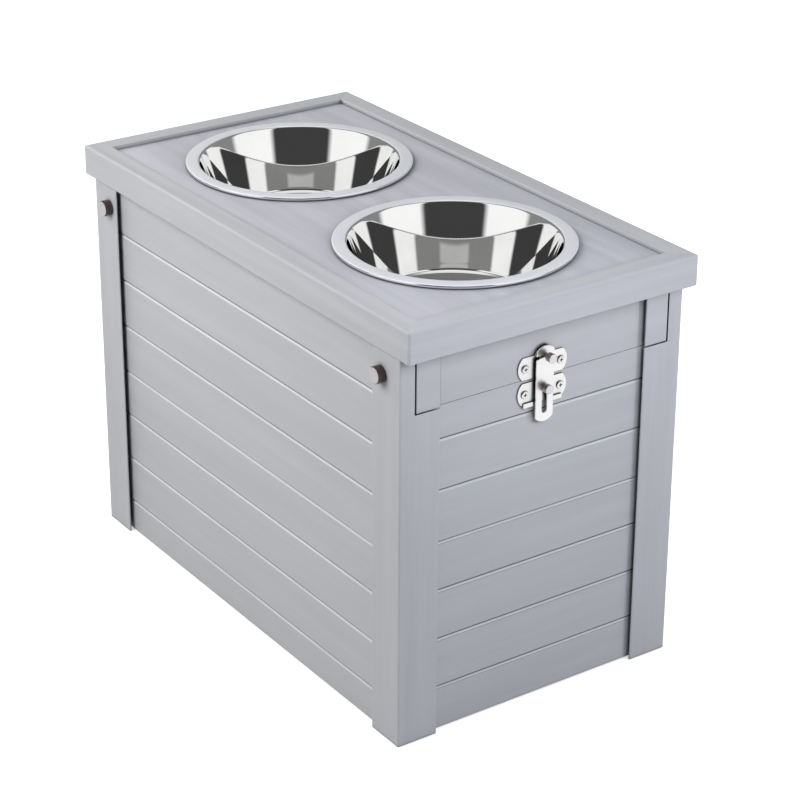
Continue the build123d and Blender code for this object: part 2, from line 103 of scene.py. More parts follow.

# Boards: how much lighter or darker than their board the marked faces and the edges are. The lighter edges
# are wear and a painted highlight, the groove slopes a painted highlight, and the rail edges, recess walls,
# groove edges and post returns painted shade.
EDGE_WEAR_AND_HIGHLIGHT = 0.12
RAIL_EDGE_SHADE = -0.02
DECK_EDGE = 0.03
RECESS_SHADE = -0.35
SLOPE_HIGHLIGHT = {"x": 0.50, "y": 0.28}
GROOVE_EDGE_SHADE = -0.55
RETURN_SHADE = -0.88

# Crevices, darkened with painted shade: how far they are looked for, the openness where the painted shade
# fades in and out, and the tone in the deepest part. The groove depth is how far below the planks' outer
# faces a groove turns dark with painted shade.
CREVICE_SAMPLES = 8
CREVICE_REACH = 0.007
CREVICE = (0.27, 0.80)
CREVICE_SHADE_TONE = 0.20
GROOVE_SHADE_DEPTH = (0.0011, 0.0014)
GROOVE_SHADE_TONE = 0.30
PLATE_CREVICE_SHADE = (0.006, 0.50, 0.88, 0.03)
SCREW_CREVICE_SHADE = (0.002, 0.60, 0.97, 0.03)

# Grain seeds keep the boards' streaks apart; pieces with the same seed share one run of grain. The layers
# of one material are a step apart, and a seed moves its noise by the offset.
SEEDS = {"x": 1.0, "y": 2.0, "z": 5.0, "rail": 11.0, "deck": 7.0}
BOARD_SEED_STEP = 3.0
METAL_SEED_STEP = 4.0
SEED_OFFSET = (1.7, 0.9, 2.3)
RAIL_CONTRAST = 1.6
DECK_CONTRAST = 2.2

# Bowls
BOWL_OPENING = 0.2056
BOWL_FLOOR = 0.1672
BOWL_WALL = 0.001
BOWL_BEAD = 0.0042
BOWL_CORNER = 0.004
BOWL_BULGE = -0.0006
BOWL_WALL_STEPS = 10
BOWL_LIP = 0.0028
BOWL_TURNS = 160
BOWL_INNER_STEPS = 6
BOWL_OUTER_STEPS = 10
BOWL_LIP_STEPS = 8
BOWL_ROLL = (90, -180)
BOWL_ROLL_STEPS = 18
SATIN_ROLL_STEPS = 4
BEAD_TUCK = 0.0002

# Latch and pins
STUD_COLLAR = (0.012, 0.0025)
STUD_NECKS = {"latch_keeper_stud": 0.003, "latch_pivot_stud": 0.006}
SHOULDER = 0.005
KNOB = 0.009
KNOB_LENGTHS = {"latch_keeper_stud": 0.0071, "latch_pivot_stud": 0.0055}
KNOB_ROUND = 0.0009
ROUND_TURNS = 48
PIN_SHANK = 0.008
PIN_CHAMFER = 0.0009
PIN_DISH = 0.0003
PIN_DISH_START = 0.55
PIN_DISH_MIDDLE = 1.3
PIN_ROUND = 0.0003
PIN_STEPS = 3
KNOB_STEPS = 5
END_FACE = 0.7
ROUND_SHARE = 0.45

# Camera: where it aims, its side, height and tilt, and its distance, lens and shift
AIM = Vector((0.01499, 0.02155, 0.29543))
AZIMUTH = math.radians(55.19)
ELEVATION = math.radians(23.28)
TILT = math.radians(0.32)
DISTANCE = 2.44467
LENS = 109.6
SENSOR = 36.0
SHIFT_Y = -0.10

# Studio: the ambient light, and what polished metal sees around the object. Two tall soft boxes stand the
# same angle to either side of the camera, with a dark wall behind the camera and a grey one behind the
# object. PANEL is a soft box high up behind the object, OVERHEAD the unlit ceiling and TOP_LEVEL a soft box
# straight above. CEILING and TOP_BOX are the heights where those two fade in. Angles are in degrees, and
# PANEL_SIDE_FADE is in turns. Around the object, CAMERA_SIDE is the camera's place from 0 to 1.
TURN = 360.0
CAMERA_SIDE = 0.5
AMBIENT = (0.11, 0.125, 0.15, 1.0)
OVERHEAD = (0.2, 0.2, 0.2, 1.0)
SIDE_BOX = 60.0
SIDE_BOX_HALF = 25.0
SIDE_BOX_FADE = 3.0
SIDE_BOX_LEVEL = 1.0
NEAR_WALL = 0.05
FAR_WALL = 0.25
CEILING = (47.0, 50.0)
TOP_BOX = (60.0, 72.0)
TOP_LEVEL = (0.92, 0.92, 0.92, 1.0)
PANEL = (0.5, 0.5, 0.5, 1.0)
PANEL_HALF_ANGLE = 35.0
PANEL_HEIGHT = (38.0, 44.0)
PANEL_FADE = 0.6
PANEL_SIDE_FADE = 0.01
FLOOR_REACH = 30.0
FLOOR_DROP = -0.0005
FLOOR_GLOW = 0.54
FLOOR_NEAR = 0.8
FLOOR_FAR = 2.5
WHITE = (1.0, 1.0, 1.0, 1.0)
FLOOR_LIT = (0.60, 0.60, 0.60, 1)
FLOOR_PALE = (0.95, 0.95, 0.95, 1)

# Lamps: name, place, size, power and tint. They all point at LAMP_AIM.
LAMP_AIM = (0, 0, 0.25)
LAMPS = [
    ("front_box", (-0.1, -1.0, 1.0), 0.8, 10.8, (0.99, 0.98, 1.02)),
    ("right_box", (0.80, -0.05, 0.75), 0.3, 2.5, (0.92, 0.94, 1.04)),
    ("side_box", (1.1, 0.7, 0.7), 0.35, 5.0, (0.93, 0.95, 1.04)),
    ("back_box", (-0.5, 1.6, 0.85), 1.0, 9.0, (1.0, 1.0, 1.0)),
    ("far_box", (-1.3, -0.3, 1.2), 0.8, 11.5, (1.0, 1.01, 0.96)),
]

body_of_node = {
    node: body for body, nodes in frame["record"]["behaviour"]["bodies"].items() for node in nodes
}


# ---------------------------------------------------------------- materials


class Nodes:
    """A short way to add and link the nodes of one material or world."""

    def __init__(self, owner):
        owner.use_nodes = True
        self.tree = owner.node_tree
        self.tree.nodes.clear()

    def add(self, kind, inputs=None, **settings):
        node = self.tree.nodes.new(kind)
        for key, value in settings.items():
            setattr(node, key, value)
        for key, value in (inputs or {}).items():
            if isinstance(value, bpy.types.NodeSocket):
                self.tree.links.new(value, node.inputs[key])
            else:
                node.inputs[key].default_value = value
        return node

    def stretched(self, scale, seed):
        """Object coordinates, stretched along one axis and moved apart from the other materials."""
        place = self.add("ShaderNodeTexCoord").outputs["Object"]
        offset = tuple(seed * step for step in SEED_OFFSET)
        return self.add("ShaderNodeMapping", {"Vector": place, "Scale": scale, "Location": offset}).outputs[0]

    def noise(self, vector, scale, detail, roughness):
        inputs = {"Vector": vector, "Scale": scale, "Detail": detail, "Roughness": roughness}
        return self.add("ShaderNodeTexNoise", inputs).outputs["Fac"]

    def spread(self, value, low, high, to_low=0.0, to_high=1.0):
        inputs = {"Value": value, "From Min": low, "From Max": high, "To Min": to_low, "To Max": to_high}
        return self.add("ShaderNodeMapRange", inputs).outputs[0]

    def math(self, operation, first, second):
        return self.add("ShaderNodeMath", {0: first, 1: second}, operation=operation).outputs[0]

    def mix(self, factor, first, second, blend="MIX"):
        node = self.add("ShaderNodeMix", data_type="RGBA", blend_type=blend)
        for socket, value in ((node.inputs[0], factor), (node.inputs[6], first), (node.inputs[7], second)):
            if isinstance(value, bpy.types.NodeSocket):
                self.tree.links.new(value, socket)
            else:
                socket.default_value = value
        return node.outputs[2]

    def bump(self, height, strength, distance):
        inputs = {"Height": height, "Strength": strength, "Distance": distance}
        return self.add("ShaderNodeBump", inputs).outputs[0]

    def grey(self, value):
        """A grey of the given brightness, to multiply a colour with."""
        return self.add("ShaderNodeCombineColor", {"Red": value, "Green": value, "Blue": value}).outputs[0]

    def openness(self, reach):
        """How open the surface is: 1 on a plain face, less in a crevice."""
        inputs = {"Distance": reach}
        return self.add("ShaderNodeAmbientOcclusion", inputs, samples=CREVICE_SAMPLES).outputs["AO"]

    def finish(self, shader):
        self.add("ShaderNodeOutputMaterial", {"Surface": shader.outputs[0]})


AXES = {"x": (1, 0, 0), "y": (0, 1, 0), "z": (0, 0, 1)}


def along(axis, slow, fast):
    """Texture scales that are slow along an axis and fast across it."""
    return tuple(slow if step else fast for step in AXES[axis])


def composite(name, axis, colour, seed, wear_and_painted_light=0.0, contrast=1.0, groove=None):
    """Satin wood-plastic board: faint straight streaks and soft bands along the board, and a low sheen."""
    material = bpy.data.materials.new(name)
    nodes = Nodes(material)
    fine = nodes.noise(nodes.stretched(along(axis, STREAK_RUN, 1.0), seed), *STREAK_NOISE)
    bands = nodes.noise(nodes.stretched(along(axis, BAND_RUN, 1.0), seed + BOARD_SEED_STEP), *BAND_NOISE)
    clouds = nodes.noise(nodes.stretched(EVEN, seed + 2 * BOARD_SEED_STEP), *CLOUD_NOISE)
    grain = nodes.noise(nodes.stretched(EVEN, seed + 3 * BOARD_SEED_STEP), *SPECK_NOISE)
    per_piece = nodes.add("ShaderNodeObjectInfo").outputs["Random"]
    dark = tuple(channel * (1 - DARK_BAND * contrast) for channel in colour[:3]) + (1.0,)
    light = tuple(min(1.0, channel * (1 + LIGHT_BAND * contrast)) for channel in colour[:3]) + (1.0,)
    streaks = nodes.mix(nodes.spread(bands, *BAND_RANGE), dark, light)
    fine_light = nodes.spread(fine, *STREAK_RANGE, 1 - FINE_STREAK * contrast, 1 + FINE_STREAK * contrast)
    cloud_light = nodes.spread(clouds, *MIDDLE_RANGE, *SOFT_TONE)
    grain_light = nodes.spread(grain, *MIDDLE_RANGE, *SOFT_TONE)
    piece_light = nodes.spread(per_piece, 0.0, 1.0, *SOFT_TONE)
    shade = nodes.math("MULTIPLY", nodes.math("MULTIPLY", fine_light, cloud_light), piece_light)
    # Marked faces and edges: lighter or darker as painted highlight or painted shade, and on plain eased
    # edges as wear too.
    shade = nodes.math("MULTIPLY", shade, nodes.math("MULTIPLY", grain_light, 1.0 + wear_and_painted_light))
    # Painted shade: the colour is darkened in crevices, in corners and where parts meet.
    painted_crevice_shade = nodes.spread(nodes.openness(CREVICE_REACH), *CREVICE, CREVICE_SHADE_TONE, 1.0)
    shade = nodes.math("MULTIPLY", shade, painted_crevice_shade)
    # Painted shade: the deep part of a groove, below the planks' outer face, is darkened.
    if groove:
        inward, outer = groove
        here = nodes.add("ShaderNodeTexCoord").outputs["Object"]
        place = nodes.add("ShaderNodeSeparateXYZ", {"Vector": here})
        reach = nodes.math("ABSOLUTE", place.outputs[inward], 0.0)
        deep = nodes.spread(reach, outer - GROOVE_SHADE_DEPTH[1], outer - GROOVE_SHADE_DEPTH[0], GROOVE_SHADE_TONE, 1.0)
        shade = nodes.math("MULTIPLY", shade, deep)
    base = nodes.mix(1.0, streaks, nodes.grey(shade), "MULTIPLY")
    band_rough = nodes.spread(bands, *MIDDLE_RANGE, *SHEEN)
    rough = nodes.math("ADD", band_rough, nodes.spread(fine, *MIDDLE_RANGE, *FINE_SHEEN))
    streak_height = nodes.math("MULTIPLY", fine, STREAK_HEIGHT)
    height = nodes.math("ADD", streak_height, nodes.math("MULTIPLY", grain, SPECK_HEIGHT))
    shader = nodes.add(
        "ShaderNodeBsdfPrincipled",
        {
            "Base Color": base,
            "Roughness": rough,
            "Normal": nodes.bump(height, BOARD_BUMP, BOARD_RELIEF),
            "Specular IOR Level": BOARD_SPECULAR,
            "IOR": BOARD_IOR,
        },
    )
    nodes.finish(shader)
    return material


def metal(name, colour, seed, rough, marks, bump, metallic=1.0, crevice=None):
    """Metal with a slightly uneven polish: marks is how far the roughness and tone wander."""
    material = bpy.data.materials.new(name)
    nodes = Nodes(material)
    scratches = nodes.noise(nodes.stretched(SCRATCH_RUN, seed), *SCRATCH_NOISE)
    smears = nodes.noise(nodes.stretched(EVEN, seed + METAL_SEED_STEP), *SMEAR_NOISE)
    dull = tuple(channel * (1 - marks) for channel in colour[:3]) + (1.0,)
    base = nodes.mix(nodes.spread(smears, *SMEAR_RANGE), colour, dull)
    # Painted shade: the colour is darkened where the surface is closed in, such as in screw recesses and
    # around the plates.
    if crevice:
        reach, low, high, deep = crevice
        tone = nodes.spread(nodes.openness(reach), low, high, deep, 1.0)
        base = nodes.mix(1.0, base, nodes.grey(tone), "MULTIPLY")
    polish = nodes.spread(scratches, *MIDDLE_RANGE, rough * (1 - marks), rough * (1 + marks))
    smeared = nodes.spread(smears, *SMEAR_SHEEN_RANGE, 0.0, rough * marks)
    shader = nodes.add(
        "ShaderNodeBsdfPrincipled",
        {
            "Base Color": base,
            "Metallic": metallic,
            "Roughness": nodes.math("ADD", polish, smeared),
            "Normal": nodes.bump(scratches, bump, METAL_RELIEF),
        },
    )
    nodes.finish(shader)
    return material


BOARD = (0.515, 0.518, 0.520, 1.0)
DECK = (0.545, 0.542, 0.575, 1.0)
boards = {axis: composite(f"board_along_{axis}", axis, BOARD, SEEDS[axis]) for axis in "xyz"}
edges = {axis: composite(f"board_edge_{axis}", axis, BOARD, SEEDS[axis], EDGE_WEAR_AND_HIGHLIGHT) for axis in "xyz"}
# Painted shade: the rails' eased edges are a little darker than the rail, which mutes their highlight.
shaded_rail_edges = {axis: composite(f"rail_edge_painted_shade_{axis}", axis, BOARD, SEEDS[axis], RAIL_EDGE_SHADE) for axis in "xy"}
PLANK_FACE = {"x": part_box("latch_end_upper_plank")[1].x, "y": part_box("back_upper_plank")[1].y}
# Painted highlight on the lower sides of the grooves, with painted shade in their deep part.
slope_highlight_and_shade = {}
for axis, inward in (("x", "y"), ("y", "x")):
    groove = (inward.upper(), PLANK_FACE[inward])
    slope_highlight_and_shade[axis] = composite(f"groove_slope_painted_light_{axis}", axis, BOARD, SEEDS["x"], SLOPE_HIGHLIGHT[axis], groove=groove)
# Painted shade: the sides of the posts beside the planks are near black, standing in for a deep shadow.
post_return_shade = composite("post_return_shade", "z", BOARD, SEEDS["z"], RETURN_SHADE)
# Painted shade: the eased edges of the end planks and skirt blocks are darker than their board.
shaded_groove_edge = composite("groove_edge_y", "y", BOARD, SEEDS["y"], GROOVE_EDGE_SHADE)
rails = {
    axis: composite(f"rail_{axis}", axis, BOARD, SEEDS["rail"], contrast=RAIL_CONTRAST) for axis in "xy"
}
# Painted shade on the rails' inner walls above the deck.
recess_shades = {axis: composite(f"rail_recess_painted_shade_{axis}", axis, BOARD, SEEDS["rail"], RECESS_SHADE) for axis in "xy"}
deck_board = composite("deck_board", "x", DECK, SEEDS["deck"], contrast=DECK_CONTRAST)
deck_edge = composite("deck_edge", "x", DECK, SEEDS["deck"], DECK_EDGE)

# Metals: name and colour, grain seed, roughness, how far marks show, height of the scratches
bowl_polish = metal("bowl_polish", (0.93, 0.93, 0.925, 1), seed=1.0, rough=0.022, marks=0.06, bump=0.006)
bowl_rim = metal(
    "bowl_rim", (0.80, 0.80, 0.81, 1), seed=2.0, rough=0.36, marks=0.05, bump=0.004, metallic=0.12
)
pin_barrel = metal(
    "pin_barrel", (0.10, 0.070, 0.062, 1), seed=3.0, rough=0.26, marks=0.20, bump=0.02, metallic=0.5
)
pin_end = metal("pin_end", (0.60, 0.56, 0.565, 1), seed=4.0, rough=0.38, marks=0.12, bump=0.02, metallic=0.6)
nickel = metal("nickel", (0.97, 0.97, 0.97, 1), seed=5.0, rough=0.33, marks=0.08, bump=0.01)
plate_nickel = metal(
    "plate_nickel", (0.96, 0.96, 0.96, 1), seed=5.0, rough=0.33, marks=0.08, bump=0.01, crevice=PLATE_CREVICE_SHADE
)
screw_nickel = metal(
    "screw_nickel", (0.90, 0.90, 0.90, 1), seed=5.5, rough=0.30, marks=0.10, bump=0.01, crevice=SCREW_CREVICE_SHADE
)
knob_end = metal(
    "knob_end", (0.82, 0.79, 0.795, 1), seed=8.0, rough=0.42, marks=0.10, bump=0.02, metallic=0.6
)
hinge_nickel = metal("hinge_nickel", (0.74, 0.74, 0.74, 1), seed=6.0, rough=0.24, marks=0.15, bump=0.02)
knob_barrel = metal(
    "knob_barrel", (0.34, 0.28, 0.25, 1), seed=7.0, rough=0.26, marks=0.20, bump=0.02, metallic=0.8
)


# ---------------------------------------------------------------- mesh helpers


def add_piece(name, mesh, nodes, materials):
    """Put a mesh in the scene, on the body of its CAD nodes and in their place."""
    piece = bpy.data.objects.new(name, mesh)
    bpy.context.scene.collection.objects.link(piece)
    for material in materials:
        mesh.materials.append(material)
    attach(piece, body_of_node[nodes[0]])
    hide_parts(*nodes)
    return piece


def shade(mesh, angle=SMOOTH_ANGLE):
    """Smooth shading, with edges sharper than the angle kept crisp."""
    mesh.shade_smooth()
    mesh.set_sharp_from_angle(angle=angle)


def is_up_slope(face):
    """The lower side of a groove, which looks up and out."""
    return UP_SLOPE[0] < face.normal.z < UP_SLOPE[1]


def is_recess_wall(face):
    """The upright face of a lid rail above the deck, which looks to the middle of the lid."""
    centre = face.calc_center_median()
    inward = centre.x * face.normal.x + centre.y * face.normal.y < 0
    return inward and abs(face.normal.z) < UP_SLOPE[0] and centre.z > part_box("lid_deck")[1].z


def is_post_return(face):
    """The side of a post that stands proud of the planks, where it turns back to meet them."""
    centre = face.calc_center_median()
    normal = face.normal
    beside_front = abs(centre.y) > PLANK_FACE["y"] and centre.x * normal.x < 0 and abs(normal.x) > SQUARE_ON
    beside_end = abs(centre.x) > PLANK_FACE["x"] and centre.y * normal.y < 0 and abs(normal.y) > SQUARE_ON
    return beside_front or beside_end


def cut_at_planks(work):
    """Split the faces of a post where they cross the outer faces of the planks."""
    for axis, reach in PLANK_FACE.items():
        for side in (-1, 1):
            bmesh.ops.bisect_plane(
                work,
                geom=work.verts[:] + work.edges[:] + work.faces[:],
                plane_co=Vector(AXES[axis]) * reach * side,
                plane_no=AXES[axis],
            )


def dress(node, materials, bevel, marked=is_up_slope):
    """A finished copy of a CAD node: flat faces made whole again, every edge eased, marked faces toned with
    painted highlight or painted shade.
    """
    work = bmesh.new()
    work.from_mesh(frame["nodes"][node].data)
    bmesh.ops.remove_doubles(work, verts=work.verts, dist=WELD)
    bmesh.ops.dissolve_limit(work, angle_limit=FLAT_ANGLE, verts=work.verts, edges=work.edges)
    if marked is is_post_return:
        cut_at_planks(work)
    corners = [
        edge
        for edge in work.edges
        if len(edge.link_faces) == 2 and edge.calc_face_angle(0.0) > BEVEL_ANGLE
    ]
    edge_slot = min(1, len(materials) - 1)
    if len(materials) > 2:
        for face in work.faces:
            if marked(face):
                face.material_index = 2
    bmesh.ops.bevel(
        work,
        geom=corners,
        offset=bevel,
        offset_type="OFFSET",
        segments=BEVEL_SEGMENTS,
        profile=ROUND_PROFILE,
        affect="EDGES",
        clamp_overlap=True,
        material=edge_slot,
    )
    mesh = bpy.data.meshes.new(node + "_mesh")
    work.to_mesh(mesh)
    work.free()
    for layer in ("custom_normal", "sharp_edge", "sharp_face"):
        if layer in mesh.attributes:
            mesh.attributes.remove(mesh.attributes[layer])
    shade(mesh)
    piece = add_piece(node + "_finish", mesh, [node], materials)
    flat = piece.modifiers.new("flat_faces", "WEIGHTED_NORMAL")
    flat.mode = "FACE_AREA"
    flat.keep_sharp = True
    return piece


def arc(centre, radius, start, stop, steps):
    """Points of an arc in the plane of a lathe's section, angles in degrees."""
    points = []
    for step in range(steps + 1):
        angle = math.radians(start + (stop - start) * step / steps)
        points.append((centre[0] + radius * math.cos(angle), centre[1] + radius * math.sin(angle)))
    return points


def lathe(name, nodes, outline, place, turns, materials, slots):
    """Turn an outline of (radius, height) points about its own axis, then set it by the place matrix."""
    work = bmesh.new()
    rings = []
    for radius, height in outline:
        if radius < WELD:
            rings.append([work.verts.new((0, 0, height))])
            continue
        ring = []
        for turn in range(turns):
            angle = 2 * math.pi * turn / turns
            ring.append(work.verts.new((radius * math.cos(angle), radius * math.sin(angle), height)))
        rings.append(ring)
    for index, (first, second) in enumerate(zip(rings, rings[1:])):
        for turn in range(turns):
            corners = []
            for ring, step in ((first, turn), (first, turn + 1), (second, turn + 1), (second, turn)):
                corner = ring[step % len(ring)]
                if corner not in corners:
                    corners.append(corner)
            if len(corners) > 2:
                face = work.faces.new(corners)
                face.material_index = slots[index]
    bmesh.ops.recalc_face_normals(work, faces=work.faces)
    mesh = bpy.data.meshes.new(name + "_mesh")
    work.to_mesh(mesh)
    work.free()
    mesh.transform(place)
    shade(mesh)
    return add_piece(name, mesh, nodes, materials)


def rounded(outline, radius, steps):
    """The same outline with each of its inner corners turned into a short arc."""
    points = [outline[0]]
    for before, corner, after in zip(outline, outline[1:], outline[2:]):
        here = Vector(corner)
        back = Vector(before) - here
        ahead = Vector(after) - here
        reach = min(radius, back.length * ROUND_SHARE, ahead.length * ROUND_SHARE)
        start = here + back.normalized() * reach
        end = here + ahead.normalized() * reach
        for step in range(steps + 1):
            t = step / steps
            points.append(tuple(start * (1 - t) ** 2 + here * 2 * t * (1 - t) + end * t**2))
    points.append(outline[-1])
    return points


# ---------------------------------------------------------------- boards


def finish_boards():
    """Posts, planks, skirts, floor and lid frame: the CAD shapes with eased edges and a grained finish."""
    for end in ("latch", "hinge"):
        dress(f"{end}_end_upper_plank", [boards["y"], shaded_groove_edge, slope_highlight_and_shade["y"]], GROOVE_BEVEL)
        dress(f"{end}_end_lower_plank", [boards["y"], shaded_groove_edge, slope_highlight_and_shade["y"]], GROOVE_BEVEL)
        dress(f"{end}_skirt_board", [boards["y"], edges["y"]], BOARD_BEVEL)
        dress(f"lid_{end}_rail", [rails["y"], shaded_rail_edges["y"], recess_shades["y"]], GROOVE_BEVEL, is_recess_wall)
        for side in ("front", "back"):
            dress(f"{end}_{side}_post", [boards["z"], edges["z"], post_return_shade], BOARD_BEVEL, is_post_return)
            dress(f"{end}_{side}_skirt_block", [boards["y"], shaded_groove_edge], BOARD_BEVEL)
    for side in ("front", "back"):
        dress(f"{side}_upper_plank", [boards["x"], edges["x"], slope_highlight_and_shade["x"]], GROOVE_BEVEL)
        dress(f"{side}_lower_plank", [boards["x"], edges["x"], slope_highlight_and_shade["x"]], GROOVE_BEVEL)
        dress(f"{side}_floor_cleat", [boards["x"], edges["x"]], BOARD_BEVEL)
        dress(f"lid_{side}_rail", [rails["x"], shaded_rail_edges["x"], recess_shades["x"]], GROOVE_BEVEL, is_recess_wall)
    dress("lid_deck", [deck_board, deck_edge], GROOVE_BEVEL)
    dress("store_floor", [boards["x"], edges["x"]], BOARD_BEVEL)
    dress("lid_rib", [boards["y"], edges["y"]], BOARD_BEVEL)


# ---------------------------------------------------------------- bowls


def make_bowl(bowl):
    """A spun steel bowl: polished tapering wall, flat satin flange and a rolled bead."""
    zones = [f"{bowl}_{zone}" for zone in ("wall", "floor", "rim")]
    low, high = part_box(f"{bowl}_rim")
    centre = (low + high) / 2
    rim = (high.x - low.x) / 2
    top = high.z - WELD
    floor_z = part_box(f"{bowl}_floor")[1].z - top
    opening = BOWL_OPENING / 2
    floor = BOWL_FLOOR / 2
    bead = BOWL_BEAD / 2
    wall = []
    for step in range(BOWL_WALL_STEPS + 1):
        share = step / BOWL_WALL_STEPS
        bulge = 4 * BOWL_BULGE * share * (1 - share)
        wall.append((floor + (opening - floor) * share + bulge, floor_z * (1 - share)))
    inside = rounded([(0, floor_z)] + wall[:2], BOWL_CORNER, BOWL_INNER_STEPS)[:-1] + wall[1:]
    lip = rounded([inside[-2], (opening, 0), (rim - bead, 0)], BOWL_LIP, BOWL_LIP_STEPS)[1:-1]
    roll = arc((rim - bead, -bead), bead, *BOWL_ROLL, BOWL_ROLL_STEPS)
    under = [(rim - 2 * bead + BEAD_TUCK, -bead)]
    outside = rounded(
        [
            (rim - 2 * bead, -BOWL_WALL),
            (opening + BOWL_WALL, -BOWL_WALL),
            (floor + BOWL_WALL, floor_z - BOWL_WALL),
            (0, floor_z - BOWL_WALL),
        ],
        BOWL_CORNER,
        BOWL_OUTER_STEPS,
    )
    outline = inside[:-1] + lip + roll + under + outside
    polished = len(inside) - 1 + len(lip) // 2
    flange = polished + len(lip) - len(lip) // 2 + SATIN_ROLL_STEPS
    slots = [0] * polished + [1] * (flange - polished) + [0] * (len(outline) - flange)
    place = Matrix.Translation((centre.x, centre.y, top))
    lathe(f"{bowl}_spun", zones, outline, place, BOWL_TURNS, [bowl_polish, bowl_rim], slots)


# ---------------------------------------------------------------- pins, latch and hinges


def outward_place(origin, outward):
    """A matrix that turns a lathe's axis to point outward from an origin."""
    return Matrix.Translation(origin) @ Vector((0, 0, 1)).rotation_difference(outward).to_matrix().to_4x4()


def end_slots(outline, start):
    """Material slots of a turned piece: 1 on its end face, beyond a height, and 0 elsewhere."""
    return [1 if min(first[1], second[1]) > start else 0 for first, second in zip(outline, outline[1:])]


def make_lock_pin(node, sign):
    """A round-headed pin: darker turned barrel, paler end face."""
    low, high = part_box(node)
    radius = (high.x - low.x) / 2
    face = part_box(node.replace("lock_pin", "post"))[0 if sign < 0 else 1].y
    tip = low.y if sign < 0 else high.y
    root = high.y if sign < 0 else low.y
    head = abs(tip - face)
    shank = abs(root - face)
    shape = [
        (0, -shank),
        (PIN_SHANK / 2, -shank),
        (PIN_SHANK / 2, 0),
        (radius, 0),
        (radius, head - PIN_CHAMFER),
        (radius - PIN_CHAMFER, head),
        (radius * PIN_DISH_START, head - PIN_DISH),
        (0, head - PIN_DISH * PIN_DISH_MIDDLE),
    ]
    outline = rounded(shape, PIN_ROUND, PIN_STEPS)
    ends = end_slots(outline, head - PIN_CHAMFER * END_FACE)
    centre = Vector(((low.x + high.x) / 2, face, (low.z + high.z) / 2))
    place = outward_place(centre, Vector((0, sign, 0)))
    lathe(f"{node}_turned", [node], outline, place, ROUND_TURNS, [pin_barrel, pin_end], ends)


def make_stud(node):
    """A latch stud: collar, neck and a long rounded knob."""
    low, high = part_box(node)
    collar, collar_height = STUD_COLLAR
    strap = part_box("latch_strap")
    neck_end = strap[1].x - low.x + (strap[0].x - low.x - collar_height)
    reach = high.x - low.x
    knob_start = reach - KNOB_LENGTHS[node]
    shape = [
        (0, 0),
        (collar / 2, 0),
        (collar / 2, collar_height),
        (STUD_NECKS[node] / 2, collar_height),
        (STUD_NECKS[node] / 2, neck_end),
        (SHOULDER / 2, neck_end),
        (SHOULDER / 2, knob_start),
        (KNOB / 2, knob_start),
        (KNOB / 2, reach),
        (0, reach),
    ]
    outline = rounded(shape, KNOB_ROUND, KNOB_STEPS)
    ends = end_slots(outline, reach - KNOB_ROUND * END_FACE)
    place = outward_place(Vector((low.x, (low.y + high.y) / 2, (low.z + high.z) / 2)), Vector((1, 0, 0)))
    lathe(f"{node}_turned", [node], outline, place, ROUND_TURNS, [knob_barrel, knob_end], ends)


def finish_metal():
    """Bowls, pins, latch and hinges."""
    for node in ("left_bowl", "right_bowl"):
        make_bowl(node)
    for end in ("latch", "hinge"):
        make_lock_pin(f"{end}_front_lock_pin", -1)
        make_lock_pin(f"{end}_back_lock_pin", 1)
    for node in ("latch_keeper_stud", "latch_pivot_stud"):
        make_stud(node)
    for node in ("latch_keeper_plate", "latch_base_plate"):
        dress(node, [plate_nickel], STEEL_BEVEL)
    dress("latch_strap", [nickel], STEEL_BEVEL)
    for node in ("latch_keeper_screws", "latch_base_screws"):
        dress(node, [screw_nickel], SCREW_BEVEL)
    for side in ("front", "back"):
        for part in ("lid_leaf", "base_leaf", "pin"):
            dress(f"hinge_{side}_{part}", [hinge_nickel], STEEL_BEVEL)
    for node in ("hinge_lid_screws", "hinge_base_screws"):
        dress(node, [hinge_nickel], SCREW_BEVEL)


# ---------------------------------------------------------------- stage, light and camera


def make_stage():
    """A wide pale floor that keeps the soft shadow; the camera and the metal see it as a white sweep."""
    mesh = bpy.data.meshes.new("floor_mesh")
    square = ((-1, -1), (1, -1), (1, 1), (-1, 1))
    corners = [(x * FLOOR_REACH, y * FLOOR_REACH, FLOOR_DROP) for x, y in square]
    mesh.from_pydata(corners, [], [(0, 1, 2, 3)])
    floor = bpy.data.objects.new("studio_floor", mesh)
    bpy.context.scene.collection.objects.link(floor)
    material = bpy.data.materials.new("studio_floor")
    nodes = Nodes(material)
    rays = nodes.add("ShaderNodeLightPath")
    lit = nodes.add("ShaderNodeBsdfDiffuse", {"Color": FLOOR_LIT}).outputs[0]
    pale = nodes.add("ShaderNodeBsdfDiffuse", {"Color": FLOOR_PALE}).outputs[0]
    place = nodes.add("ShaderNodeTexCoord").outputs["Object"]
    distance = nodes.add("ShaderNodeVectorMath", {0: place}, operation="LENGTH").outputs["Value"]
    level = nodes.spread(distance, FLOOR_NEAR, FLOOR_FAR, FLOOR_GLOW, 1.0)
    glow = nodes.add("ShaderNodeEmission", {"Color": WHITE, "Strength": level}).outputs[0]
    sweep = nodes.add("ShaderNodeAddShader", {0: pale, 1: glow}).outputs[0]
    mirrored = nodes.add("ShaderNodeEmission", {"Color": WHITE, "Strength": 1.0}).outputs[0]
    unseen = nodes.add("ShaderNodeMixShader", {0: rays.outputs["Is Glossy Ray"], 1: lit, 2: mirrored})
    inputs = {0: rays.outputs["Is Camera Ray"], 1: unseen.outputs[0], 2: sweep}
    nodes.finish(nodes.add("ShaderNodeMixShader", inputs))
    mesh.materials.append(material)


